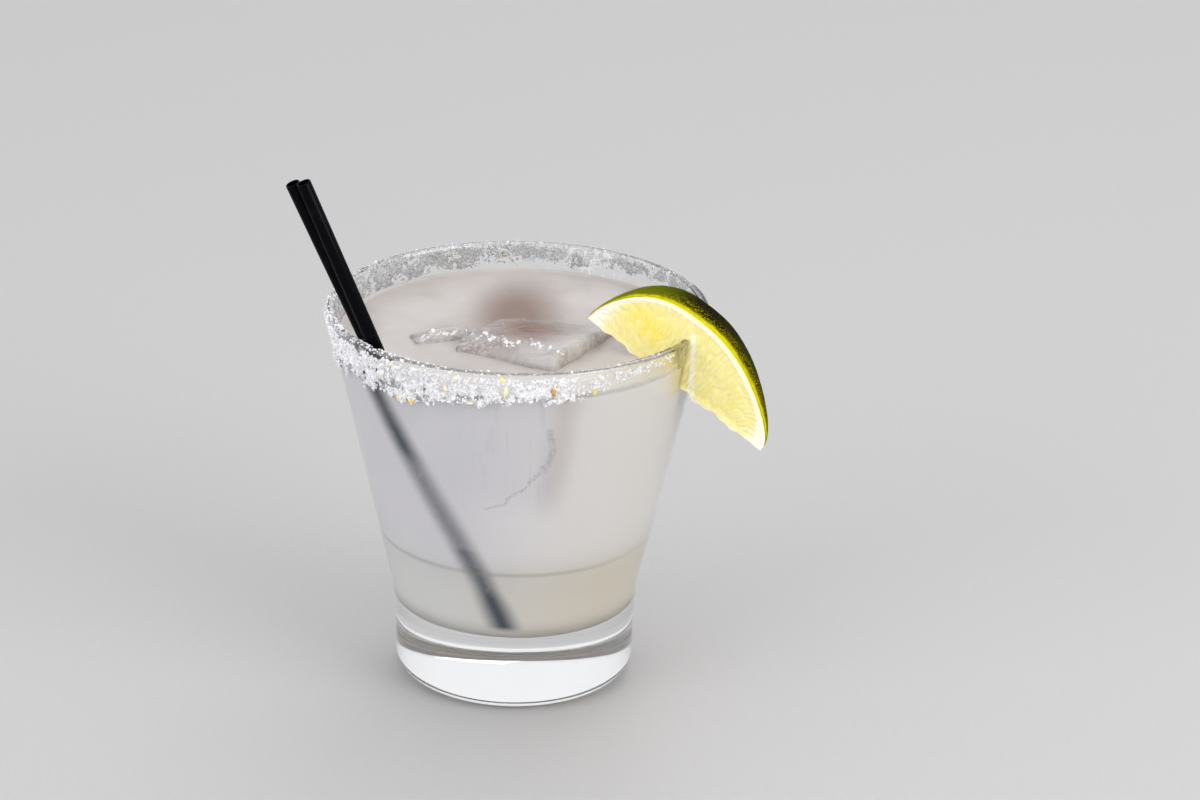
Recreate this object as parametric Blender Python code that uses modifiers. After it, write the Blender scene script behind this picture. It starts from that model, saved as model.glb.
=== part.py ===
"""Margarita in a rocks glass: cloudy drink, ice, salted rim, lime wedge and two thin straws.

Metres, +Z up. The origin is the middle of the glass's flat underside and the glass's axis is Z.
The straws lean towards -X and the lime wedge hangs on the rim towards +X, -Y.
"""
import math
import random

import bmesh
import bpy
from mathutils import Matrix, Vector, noise

# Clearance between neighbours, and how round the turned pieces are
GAP = 0.0003
TURN_STEPS = 48
MERGE = 0.00001

# Glass
GLASS_HEIGHT = 0.0924
RIM_RADIUS = 0.0450
LIP_THICKNESS = 0.0017
KNEE_RADIUS = 0.0292
KNEE_HEIGHT = 0.0218
FOOT_RADIUS = 0.0286
FOOT_ROUNDING = 0.0050
SHOULDER_RADIUS = 0.0305
SHOULDER_HEIGHT = 0.0374
SHOULDER_STEP = 0.0006
BOWL_FLOOR_HEIGHT = 0.0185
BOWL_FLOOR_RADIUS = 0.0268
BOWL_ROUNDING = 0.0045

# Drink and ice
DRINK_LEVEL = 0.0855
ICE_SIZE = Vector((0.0270, 0.0310, 0.0270))
ICE_MIDDLE = Vector((0.0048, -0.0066, 0.0748))
ICE_TURN = math.radians(-29.4)
ICE_TILT = (math.radians(-2.6), math.radians(-4.2))
CHIP_SIZE = Vector((0.0125, 0.0100, 0.0115))
CHIP_MIDDLE = Vector((-0.0189, -0.0027, 0.0818))
CHIP_TURN = math.radians(24)
CHIP_TILT = (math.radians(5), math.radians(-7))
ICE_ROUNDING = 0.0016
ICE_CELL = 0.0075
ICE_CRAG = 0.0007

# Straws: two thin cocktail straws side by side
STRAW_RADIUS = 0.00165
STRAW_WALL = 0.00035
STRAW_LENGTH = 0.1200
STRAW_SIDES = 16
STRAWS = {
    "straw_left": (Vector((-0.0041, -0.0169, 0.0199)), Vector((-0.0349, -0.0225, 0.0924))),
    "straw_right": (Vector((-0.0042, -0.0206, 0.0199)), Vector((-0.0329, -0.0256, 0.0924))),
}

# Lime wedge: its core line from inside the glass outwards, the way its shown cut face runs up to
# the rind, its fruit's form and its slice angle
LIME_MIDDLE = Vector((0.0356, -0.0181, 0.0795))
LIME_CORE = Vector((0.801, -0.242, -0.548)).normalized()
LIME_FACE_UP = Vector((0.454, -0.351, 0.819)).normalized()
LIME_RADIUS = 0.0204
LIME_HALF_LENGTH = 0.0253
LIME_LEAN = 0.18
LIME_SHARP_END = 0.03
LIME_BLUNT_END = 0.14
LIME_SLICE = math.radians(48)
LIME_SLICE_STEPS = 8
LIME_CORE_EDGE = 0.0008
LIME_PITH = 0.0026
LIME_FLESH_SINK = 0.00035
SLOT_CLEARANCE = 0.0004
SLOT_REACH = 0.0360

# Salt crust below the lip: from the lime's far side round the back to its near side
SALT_START = math.radians(22)
SALT_END = math.radians(323)
SALT_TOP = 0.0908
SALT_DEEPEST_AT = math.radians(190)
SALT_DEPTH_MEAN = 0.0064
SALT_DEPTH_SWING = 0.0052
SALT_THICKNESS = 0.0006
SALT_COLUMNS = 60
SALT_ROWS = 3
SALT_GRAINS = 130
SALT_GRAIN_SIZES = (0.0008, 0.0014)
SALT_FLAKES = 7
SALT_FLAKE_SIZE = Vector((0.0021, 0.0013, 0.0005))
SALT_SEED = 11


def clear_scene():
    for old in list(bpy.data.objects):
        bpy.data.objects.remove(old, do_unlink=True)


def new_collection(name):
    made = bpy.data.collections.new(name)
    bpy.context.scene.collection.children.link(made)
    return made


def principled(name, colour, roughness, metallic=0.0, transmission=0.0):
    material = bpy.data.materials.new(name)
    material.use_nodes = True
    shader = material.node_tree.nodes["Principled BSDF"]
    shader.inputs["Base Color"].default_value = (*colour, 1.0)
    shader.inputs["Roughness"].default_value = roughness
    shader.inputs["Metallic"].default_value = metallic
    shader.inputs["Transmission Weight"].default_value = transmission
    return material


def object_from(bm, name, collection, material=None):
    """Makes an object of a bmesh, in place, and frees the bmesh."""
    mesh = bpy.data.meshes.new(name)
    bm.to_mesh(mesh)
    bm.free()
    made = bpy.data.objects.new(name, mesh)
    collection.objects.link(made)
    if material is not None:
        mesh.materials.append(material)
    return made


def hide_cutter(cutter):
    cutter.hide_render = True
    cutter.display_type = "WIRE"


def smooth_round(target, angle=40):
    target.data.shade_smooth()
    target.data.set_sharp_from_angle(angle=math.radians(angle))


def subtract(target, cutter, solver="EXACT"):
    cut = target.modifiers.new("cut_" + cutter.name, "BOOLEAN")
    cut.operation = "DIFFERENCE"
    cut.object = cutter
    cut.solver = solver


def evaluated_copy(source, name, collection):
    """The object's evaluated mesh as a new plain object."""
    graph = bpy.context.evaluated_depsgraph_get()
    mesh = bpy.data.meshes.new_from_object(source.evaluated_get(graph))
    mesh.name = name
    made = bpy.data.objects.new(name, mesh)
    made.matrix_world = source.matrix_world
    collection.objects.link(made)
    return made


def keep_largest_piece(target):
    """Drops every loose scrap that a Boolean leaves beside the main body."""
    bm = bmesh.new()
    bm.from_mesh(target.data)
    unseen = set(bm.verts)
    pieces = []
    while unseen:
        front = [unseen.pop()]
        piece = list(front)
        while front:
            for edge in front.pop().link_edges:
                for vert in edge.verts:
                    if vert in unseen:
                        unseen.discard(vert)
                        front.append(vert)
                        piece.append(vert)
        pieces.append(piece)
    pieces.sort(key=len)
    for piece in pieces[:-1]:
        bmesh.ops.delete(bm, geom=piece, context="VERTS")
    bm.to_mesh(target.data)
    bm.free()


def turned(name, profile, closed, collection, material=None):
    """Turns a profile of (radius, height) pairs round Z with a Screw modifier."""
    mesh = bpy.data.meshes.new(name)
    edges = [(i, i + 1) for i in range(len(profile) - 1)]
    if closed:
        edges.append((len(profile) - 1, 0))
    mesh.from_pydata([(r, 0.0, z) for r, z in profile], edges, [])
    if material is not None:
        mesh.materials.append(material)
    made = bpy.data.objects.new(name, mesh)
    collection.objects.link(made)
    screw = made.modifiers.new("turn", "SCREW")
    screw.steps = TURN_STEPS
    screw.render_steps = TURN_STEPS
    screw.use_merge_vertices = True
    screw.merge_threshold = MERGE
    screw.use_smooth_shade = True
    return made


def arc(middle, radius, start, end, steps):
    """Points of (radius, height) along an arc, both angles in degrees."""
    points = []
    for i in range(steps + 1):
        angle = math.radians(start + (end - start) * i / steps)
        points.append((middle[0] + radius * math.cos(angle), middle[1] + radius * math.sin(angle)))
    return points


def outer_radius(height):
    """The glass's outer radius on the tapered wall."""
    slope = (RIM_RADIUS - KNEE_RADIUS) / (GLASS_HEIGHT - KNEE_HEIGHT)
    return KNEE_RADIUS + slope * (height - KNEE_HEIGHT)


def inner_radius(height):
    """The bowl's inner radius above the shoulder."""
    top = RIM_RADIUS - LIP_THICKNESS
    slope = (top - SHOULDER_RADIUS) / (GLASS_HEIGHT - SHOULDER_HEIGHT)
    return SHOULDER_RADIUS + slope * (height - SHOULDER_HEIGHT)


def bowl_profile(top_height, inset=0.0):
    """The bowl's wall from the top down to the middle of its floor, drawn in by inset."""
    floor = BOWL_FLOOR_HEIGHT + inset
    foot_middle = (BOWL_FLOOR_RADIUS - inset - BOWL_ROUNDING, floor + BOWL_ROUNDING)
    points = [
        (inner_radius(top_height) - inset, top_height),
        (SHOULDER_RADIUS - inset, SHOULDER_HEIGHT),
        (SHOULDER_RADIUS - SHOULDER_STEP - inset, SHOULDER_HEIGHT - SHOULDER_STEP),
    ]
    points += arc(foot_middle, BOWL_ROUNDING, 0, -90, 4)
    points.append((0.0, floor))
    return points


def glass_profile():
    lip = LIP_THICKNESS / 2
    lip_height = GLASS_HEIGHT - lip
    lip_middle = (outer_radius(lip_height) - lip, lip_height)
    foot_middle = (FOOT_RADIUS - FOOT_ROUNDING, FOOT_ROUNDING)
    points = list(reversed(bowl_profile(lip_height)))
    points += arc(lip_middle, lip, 180, 0, 4)[1:]
    points += [(KNEE_RADIUS, KNEE_HEIGHT), (FOOT_RADIUS, KNEE_HEIGHT - 0.006)]
    points += arc(foot_middle, FOOT_ROUNDING, 0, -90, 4)
    points.append((0.0, 0.0))
    return points


def slot_profile():
    """A closed loop round the wall and lip, which cuts the lime's slot."""
    low = GLASS_HEIGHT - SLOT_REACH
    top = GLASS_HEIGHT + SLOT_CLEARANCE
    return [
        (inner_radius(low) - SLOT_CLEARANCE, low),
        (inner_radius(top) - SLOT_CLEARANCE, top),
        (outer_radius(top) + SLOT_CLEARANCE, top),
        (outer_radius(low) + SLOT_CLEARANCE, low),
    ]


def ice_block(name, size, middle, turn, tilt, grow, collection, material=None):
    """A rounded, slightly craggy block of ice; grow makes the same block larger all round."""
    bm = bmesh.new()
    bmesh.ops.create_cube(bm, size=1.0)
    bmesh.ops.scale(bm, vec=size, verts=bm.verts)
    bmesh.ops.bevel(bm, geom=bm.edges[:], offset=ICE_ROUNDING, affect="EDGES", segments=2,
                    profile=0.5, material=-1, clamp_overlap=True)
    long_edges = [e for e in bm.edges if e.calc_length() > 0.004]
    bmesh.ops.subdivide_edges(bm, edges=long_edges, cuts=round(size.x / ICE_CELL), use_grid_fill=True)
    bmesh.ops.triangulate(bm, faces=bm.faces)
    bm.normal_update()
    for vert in bm.verts:
        crag = noise.noise(vert.co * 170 + middle * 900) + 0.5 * noise.noise(vert.co * 420)
        vert.co += vert.normal * (ICE_CRAG * crag + grow)
    placed = (Matrix.Translation(middle) @ Matrix.Rotation(turn, 4, "Z")
              @ Matrix.Rotation(tilt[0], 4, "X") @ Matrix.Rotation(tilt[1], 4, "Y"))
    bmesh.ops.transform(bm, matrix=placed, verts=bm.verts)
    return object_from(bm, name, collection, material)


def along(start, through):
    """The turn that takes +Z to the line from start through a second point, placed at start."""
    direction = (through - start).normalized()
    return Matrix.Translation(start) @ direction.to_track_quat("Z", "Y").to_matrix().to_4x4()


def straw_tube(name, start, through, collection, material):
    """An open tube: a wall with both ends open, its thickness turned inwards by Solidify."""
    bm = bmesh.new()
    bmesh.ops.create_cone(bm, cap_ends=False, segments=STRAW_SIDES, radius1=STRAW_RADIUS,
                          radius2=STRAW_RADIUS, depth=STRAW_LENGTH)
    bmesh.ops.translate(bm, vec=(0, 0, STRAW_LENGTH / 2), verts=bm.verts)
    bmesh.ops.transform(bm, matrix=along(start, through), verts=bm.verts)
    tube = object_from(bm, name, collection, material)
    wall = tube.modifiers.new("wall", "SOLIDIFY")
    wall.thickness = STRAW_WALL
    wall.offset = -1.0
    smooth_round(tube)
    return tube


def straw_clearance(name, start, through, collection):
    """A plain rod a little larger than the straw, which clears the drink round it."""
    bm = bmesh.new()
    bmesh.ops.create_cone(bm, cap_ends=True, segments=STRAW_SIDES, radius1=STRAW_RADIUS + GAP,
                          radius2=STRAW_RADIUS + GAP, depth=STRAW_LENGTH + 2 * GAP)
    bmesh.ops.translate(bm, vec=(0, 0, STRAW_LENGTH / 2), verts=bm.verts)
    bmesh.ops.transform(bm, matrix=along(start, through), verts=bm.verts)
    return object_from(bm, name, collection)


def lime_outline(share):
    """Rind radius at a share of the half length: fullest towards the sharp inner end."""
    leaning = share + LIME_LEAN * (1 - share * share)
    body = max(0.0, 1.0 - abs(leaning) ** 2.4) ** 0.67
    blunt = LIME_BLUNT_END if share > 0 else LIME_SHARP_END
    blend = abs(share) ** 3
    return LIME_RADIUS * (body * (1.0 - blunt * blend) + blunt * blend)


def sink_flesh(bm, normal):
    """Sinks the flesh a little below the pith and the rind on both cut faces."""
    back_inward = normal * math.cos(LIME_SLICE) + LIME_FACE_UP * math.sin(LIME_SLICE)
    for vert in bm.verts:
        from_middle = vert.co - LIME_MIDDLE
        share = from_middle.dot(LIME_CORE) / LIME_HALF_LENGTH
        across = from_middle - LIME_CORE * from_middle.dot(LIME_CORE)
        in_flesh = LIME_PITH * 0.6 < across.length < lime_outline(share) - LIME_PITH * 0.7
        if abs(share) > 0.86 or not in_flesh:
            continue
        angle = math.atan2(-across.dot(normal), across.dot(LIME_FACE_UP))
        if angle < 0.01:
            vert.co -= normal * LIME_FLESH_SINK
        elif angle > LIME_SLICE - 0.01:
            vert.co += back_inward * LIME_FLESH_SINK


def lime_wedge(name, grow, collection, material=None):
    """One wedge of lime: a half-disc face, spun about the core line by the slice angle.

    With grow it is a plain wedge that is larger on every side, for clearance.
    """
    normal = LIME_CORE.cross(LIME_FACE_UP).normalized()
    half = LIME_SLICE / 2
    inward = LIME_FACE_UP * math.cos(half) - normal * math.sin(half)
    middle = LIME_MIDDLE - inward * (grow / math.sin(half))
    swell = grow + grow / math.sin(half)
    bm = bmesh.new()
    bmesh.ops.create_grid(bm, x_segments=18, y_segments=6, size=1.0)
    for vert in bm.verts:
        share = vert.co.x
        reach = (vert.co.y + 1) / 2
        wave = 0.0004 * math.sin(17 * share) * (1 - share * share)
        rind = lime_outline(share) + swell
        core = min(max(0.0002, LIME_CORE_EDGE + wave - grow), rind / 2)
        out = core + (rind - core) * reach
        vert.co = middle + LIME_CORE * (share * (LIME_HALF_LENGTH + grow)) + LIME_FACE_UP * out
    patch = bm.faces[:]
    bmesh.ops.spin(bm, geom=bm.verts[:] + bm.edges[:] + patch, cent=middle, axis=LIME_CORE,
                   angle=-LIME_SLICE, steps=LIME_SLICE_STEPS, use_duplicate=False)
    bmesh.ops.remove_doubles(bm, verts=bm.verts, dist=MERGE)
    bmesh.ops.recalc_face_normals(bm, faces=bm.faces)
    if grow == 0.0:
        sink_flesh(bm, normal)
    return object_from(bm, name, collection, material)


def salt_depth(angle):
    """How far the crust reaches below its top edge, by the way round the rim."""
    depth = SALT_DEPTH_MEAN + SALT_DEPTH_SWING * math.cos(angle - SALT_DEEPEST_AT)
    return depth * (1 + 0.22 * noise.noise(Vector((6 * math.cos(angle), 6 * math.sin(angle), 0))))


def salt_place(angle, height, proud):
    radius = outer_radius(height) + GAP + proud
    return Vector((radius * math.cos(angle), radius * math.sin(angle), height))


def salt_band(name, collection, material):
    """The crust's core: a thin band on the outside of the wall, with an uneven lower edge."""
    bm = bmesh.new()
    bmesh.ops.create_grid(bm, x_segments=SALT_COLUMNS, y_segments=SALT_ROWS, size=1.0)
    for vert in bm.verts:
        angle = SALT_START + (SALT_END - SALT_START) * (vert.co.x + 1) / 2
        drop = (1 - vert.co.y) / 2
        vert.co = salt_place(angle, SALT_TOP - drop * salt_depth(angle) * 0.86, 0.0)
    bmesh.ops.recalc_face_normals(bm, faces=bm.faces)
    for face in bm.faces:
        if face.normal.dot(Vector((face.calc_center_median().x, face.calc_center_median().y, 0))) < 0:
            face.normal_flip()
    band = object_from(bm, name, collection, material)
    crust = band.modifiers.new("crust", "SOLIDIFY")
    crust.thickness = SALT_THICKNESS
    crust.offset = 1.0
    return band


def salt_bit(size, place, turn, collection, index):
    """One box-shaped crystal or flake, set on the band."""
    bm = bmesh.new()
    bmesh.ops.create_cube(bm, size=1.0)
    bmesh.ops.scale(bm, vec=size, verts=bm.verts)
    bmesh.ops.transform(bm, matrix=Matrix.Translation(place) @ turn, verts=bm.verts)
    return object_from(bm, f"salt_bit_{index}", collection)


def salt_rim(collection, material):
    """Band, crystals and flakes joined into one closed crust."""
    draw = random.Random(SALT_SEED)
    band = salt_band("salt_band", collection, material)
    bits = new_collection("salt_bits")
    for index in range(SALT_GRAINS + SALT_FLAKES):
        angle = draw.uniform(SALT_START + 0.02, SALT_END - 0.02)
        depth = salt_depth(angle)
        height = SALT_TOP - 0.0004 - draw.random() ** 0.8 * (depth * 0.86 - 0.0006)
        if index < SALT_GRAINS:
            edge = draw.uniform(*SALT_GRAIN_SIZES)
            size = Vector((edge, edge * draw.uniform(0.75, 1.0), edge * draw.uniform(0.7, 1.0)))
            turn = Matrix.Rotation(draw.uniform(0, math.pi), 4, "Z") @ Matrix.Rotation(
                draw.uniform(0, math.pi), 4, "X")
        else:
            size = SALT_FLAKE_SIZE
            turn = Matrix.Rotation(angle, 4, "Z") @ Matrix.Rotation(
                draw.uniform(-0.4, 0.4), 4, "X") @ Matrix.Rotation(math.pi / 2, 4, "Y")
        proud = max(SALT_THICKNESS + size.x * 0.12, size.length / 2)
        salt_bit(size, salt_place(angle, height, proud), turn, bits, index)
    join = band.modifiers.new("join", "BOOLEAN")
    join.operation = "UNION"
    join.operand_type = "COLLECTION"
    join.collection = bits
    join.solver = "EXACT"
    crust = evaluated_copy(band, "salt_rim", collection)
    for bit in list(bits.objects):
        bpy.data.objects.remove(bit, do_unlink=True)
    bpy.data.collections.remove(bits)
    bpy.data.objects.remove(band, do_unlink=True)
    keep_largest_piece(crust)
    return crust


def build():
    clear_scene()
    parts = new_collection("margarita_cocktail")
    cutters = new_collection("cutters")

    clear_glass = principled("clear_glass", (0.95, 0.97, 0.96), 0.03, transmission=1.0)
    cloudy_drink = principled("cloudy_drink", (0.66, 0.66, 0.66), 0.12)
    clear_ice = principled("clear_ice", (0.80, 0.80, 0.82), 0.08, transmission=0.8)
    black_plastic = principled("black_plastic", (0.008, 0.008, 0.010), 0.28)
    lime_fruit = principled("lime_fruit", (0.62, 0.62, 0.16), 0.35)
    coarse_salt = principled("coarse_salt", (0.85, 0.84, 0.86), 0.45)

    turned("glass", glass_profile(), False, parts, clear_glass)

    ice_block("ice_large", ICE_SIZE, ICE_MIDDLE, ICE_TURN, ICE_TILT, 0.0, parts, clear_ice)
    ice_block("ice_chip", CHIP_SIZE, CHIP_MIDDLE, CHIP_TURN, CHIP_TILT, 0.0, parts, clear_ice)
    ice_clearances = [
        ice_block("ice_clearance", ICE_SIZE, ICE_MIDDLE, ICE_TURN, ICE_TILT, GAP, cutters),
        ice_block("chip_clearance", CHIP_SIZE, CHIP_MIDDLE, CHIP_TURN, CHIP_TILT, GAP, cutters),
    ]

    straw_clearances = []
    for name, (start, through) in STRAWS.items():
        straw_tube(name, start, through, parts, black_plastic)
        straw_clearances.append(straw_clearance(name + "_clearance", start, through, cutters))

    lime = lime_wedge("lime_wedge", 0.0, parts, lime_fruit)
    slot = turned("slot_cutter", slot_profile(), True, cutters)
    subtract(lime, slot)
    lime_clearance = lime_wedge("lime_clearance", GAP, cutters)
    subtract(parts.objects["ice_large"], lime_clearance)

    drink_outline = bowl_profile(DRINK_LEVEL, GAP)
    raw_drink = turned("drink_raw", [(0.0, DRINK_LEVEL)] + drink_outline, False, cutters, cloudy_drink)
    for clearance in ice_clearances + straw_clearances + [lime_clearance]:
        subtract(raw_drink, clearance)
    drink = evaluated_copy(raw_drink, "drink", parts)
    keep_largest_piece(drink)
    bpy.data.objects.remove(raw_drink, do_unlink=True)

    salt_rim(parts, coarse_salt)
    for cutter in cutters.objects:
        hide_cutter(cutter)


build()
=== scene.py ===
"""Looks of a margarita: clear glass, cloudy drink, ice, salted rim, lime wedge and two straws.

Metres, +Z up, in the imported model's own frame. The photographed front faces -Y.
"""
import math

import bmesh
import bpy
import numpy as np
from mathutils import Matrix, Vector, noise


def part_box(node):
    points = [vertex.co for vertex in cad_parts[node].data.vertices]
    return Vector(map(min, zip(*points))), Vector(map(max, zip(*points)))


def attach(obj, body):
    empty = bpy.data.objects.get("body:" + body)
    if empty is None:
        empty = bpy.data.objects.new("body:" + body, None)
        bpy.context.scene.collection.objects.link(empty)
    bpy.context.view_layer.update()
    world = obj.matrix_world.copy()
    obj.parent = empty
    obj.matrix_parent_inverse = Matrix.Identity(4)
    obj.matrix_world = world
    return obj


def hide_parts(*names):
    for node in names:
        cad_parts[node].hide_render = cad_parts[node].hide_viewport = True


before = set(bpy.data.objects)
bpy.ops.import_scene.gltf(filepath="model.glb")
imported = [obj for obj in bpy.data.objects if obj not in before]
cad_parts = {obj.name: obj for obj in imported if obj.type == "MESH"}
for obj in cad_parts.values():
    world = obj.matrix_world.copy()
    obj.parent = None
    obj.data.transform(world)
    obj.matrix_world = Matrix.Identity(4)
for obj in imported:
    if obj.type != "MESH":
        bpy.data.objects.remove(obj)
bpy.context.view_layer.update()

# Glass
GLASS_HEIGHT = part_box("glass")[1].z
RIM_RADIUS = 0.0450
LIP_THICKNESS = 0.0017
KNEE_RADIUS = 0.0292
KNEE_HEIGHT = 0.0218
FOOT_RADIUS = 0.0286
FOOT_ROUNDING = 0.0050
SHOULDER_RADIUS = 0.0305
SHOULDER_HEIGHT = 0.0374
SHOULDER_STEP = 0.0006
BOWL_FLOOR_HEIGHT = 0.0185
BOWL_FLOOR_RADIUS = 0.0268
BOWL_ROUNDING = 0.0045
# Radius and height of each point between the straight wall and the foot
KNEE = ((KNEE_RADIUS + 0.00045, KNEE_HEIGHT + 0.0020), (KNEE_RADIUS, KNEE_HEIGHT - 0.0004),
        (FOOT_RADIUS + 0.0003, KNEE_HEIGHT - 0.0035), (FOOT_RADIUS, KNEE_HEIGHT - 0.0080))
TURN_STEPS = 160
MERGE = 0.000005

# Drink
DRINK_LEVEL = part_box("drink")[1].z
# The drink's top lies a little below the solid's, and its side a little inside the glass
UNDER_LEVEL = 0.0001
INTO_WALL = 0.00015
TOP_RINGS = 17
MENISCUS_RINGS = 7
MENISCUS_HEIGHT = 0.0007
MENISCUS_WIDTH = 0.0007
STRAW_MENISCUS_HEIGHT = 0.0005
STRAW_MENISCUS_WIDTH = 0.0008
RIPPLE_HEIGHT = 0.00012

# Ice
ICE_SIZE = Vector((0.0270, 0.0310, 0.0270))
ICE_MIDDLE = Vector((0.0048, -0.0066, 0.0748))
ICE_TURN = math.radians(-29.4)
ICE_TILT = (math.radians(-2.6), math.radians(-4.2))
CHIP_SIZE = Vector((0.0125, 0.0100, 0.0115))
CHIP_MIDDLE = Vector((-0.0189, -0.0027, 0.0812))
CHIP_TURN = math.radians(24)
CHIP_TILT = (math.radians(5), math.radians(-7))
ICE_ROUNDING = 0.0016
ICE_CRAG = 0.0005
ICE_WAVE = 0.0005
ICE_SHARD = 0.0026
ICE_PIT = 0.0006
MELTED_DEPTH = 0.0026
ICE_RIM_WIDTH = 0.0009
# The ice's room in the drink: a coarser copy, drawn in a little
POCKET_CELL = 0.0010
POCKET_GROW = -0.0001

# Straws
STRAW_RADIUS = 0.00165
STRAW_WALL = 0.00035
STRAW_LENGTH = 0.1200
STRAW_STEPS = 40
STRAWS = {
    "straw_left": (Vector((-0.0041, -0.0169, 0.0199)), Vector((-0.0349, -0.0225, 0.0924))),
    "straw_right": (Vector((-0.0042, -0.0206, 0.0199)), Vector((-0.0329, -0.0256, 0.0924))),
}
# The cloud shows the two sunk ends as one band, along this line
BAND_START = Vector((-0.0020, -0.0338, 0.0199))
BAND_THROUGH = Vector((-0.0315, -0.0195, 0.0924))
BAND_HALF_WIDTH = 0.0046
BAND_END_WIDTH = 0.0060

# Lime
LIME_MIDDLE = Vector((0.0356, -0.0181, 0.0795))
LIME_CORE = Vector((0.801, -0.242, -0.548)).normalized()
LIME_FACE_UP = Vector((0.454, -0.351, 0.819)).normalized()
LIME_RADIUS = 0.0204
LIME_HALF_LENGTH = 0.0253
LIME_LEAN = 0.18
LIME_SHARP_END = 0.03
LIME_BLUNT_END = 0.14
LIME_SLICE = math.radians(48)
LIME_CORE_EDGE = 0.0008
LIME_FACE_BACK = LIME_CORE.cross(LIME_FACE_UP).normalized()
LIME_POCKET_SHARE = 0.965
RIND_SKIN = 0.0002
RIND_SINK = 0.0003
RIND_DIMPLE = 0.00014
RIND_PORE = 0.00006
CUT_EDGE = 0.00015
# Radians from a cut face within which a point counts as on it
ON_FACE = 0.004
FLESH_UNDER_RIND = 0.0018
FLESH_FROM_CORE = 0.0014
FLESH_EDGE = 0.0008
VESICLE_HEIGHT = 0.00026
VESICLE_SINK = 0.00040
VESICLES_ALONG = 19.0
VESICLES_OUT = 2.6
# Steps along the core, out from it and round it
LIME_MESH = (170, 72, 36)
LIME_POCKET_MESH = (48, 20, 10)
# The soft flesh closes over the wall but for a groove at its inner face, down from the lip
GROOVE = 0.0006
GROOVE_DROP = 0.0045

# Salt
SALT_START = math.radians(22)
SALT_END = math.radians(323)
SALT_SPLIT = math.radians(180)
# Count of crystals and seed
SALT_FRONT = (16400, 11)
SALT_BACK = (14000, 12)
CRYSTAL_EDGE = 0.00031
CRYSTAL_SPREAD = 0.34
CRYSTAL_LIMITS = (0.00016, 0.00062)
CRYSTALS_TOP = 0.0011
CRUST_TOP = 0.0018
CRUST_LUMP = 0.00022
CRUST_THICKNESS = 0.0003
CRUST_MESH = (620, 22)
# Chance that a crystal sits on the lip itself, and what is added to it round the left, in degrees
LIP_SHARE = 0.0007
LIP_SHARE_LEFT = 0.010
LEFT_WAY = 205
LEFT_SPREAD = 32
FLECK_PROUD = 0.0009
FLECK_CURL = 0.0020
FLECK_THICKNESS = 0.00022

# Room
FLOOR_RADIUS = 6.0
FLOOR_DROP = 0.0002
LIGHT_AIM = (0.0, 0.0, 0.06)

# Camera, as fitted to the photograph
CAMERA_PLACE = Vector((0.0, -0.8353, 0.4050))
CAMERA_RIGHT = Vector((0.99968, -0.01523, 0.02031))
CAMERA_FORWARD = Vector((0.02171, 0.92735, -0.37356))
CAMERA_LENS = 114.37


class Wire:
    """A shader value that takes Python arithmetic: each operation adds its Math node."""

    def __init__(self, finish, socket):
        self.finish = finish
        self.socket = socket

    def __add__(self, other):
        return self.finish.maths("ADD", self, other)

    def __radd__(self, other):
        return self.finish.maths("ADD", other, self)

    def __sub__(self, other):
        return self.finish.maths("SUBTRACT", self, other)

    def __rsub__(self, other):
        return self.finish.maths("SUBTRACT", other, self)

    def __mul__(self, other):
        return self.finish.maths("MULTIPLY", self, other)

    def __rmul__(self, other):
        return self.finish.maths("MULTIPLY", other, self)

    def __truediv__(self, other):
        return self.finish.maths("DIVIDE", self, other)

    def __pow__(self, other):
        return self.finish.maths("POWER", self, other)

    def __abs__(self):
        return self.finish.maths("ABSOLUTE", self)


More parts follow.
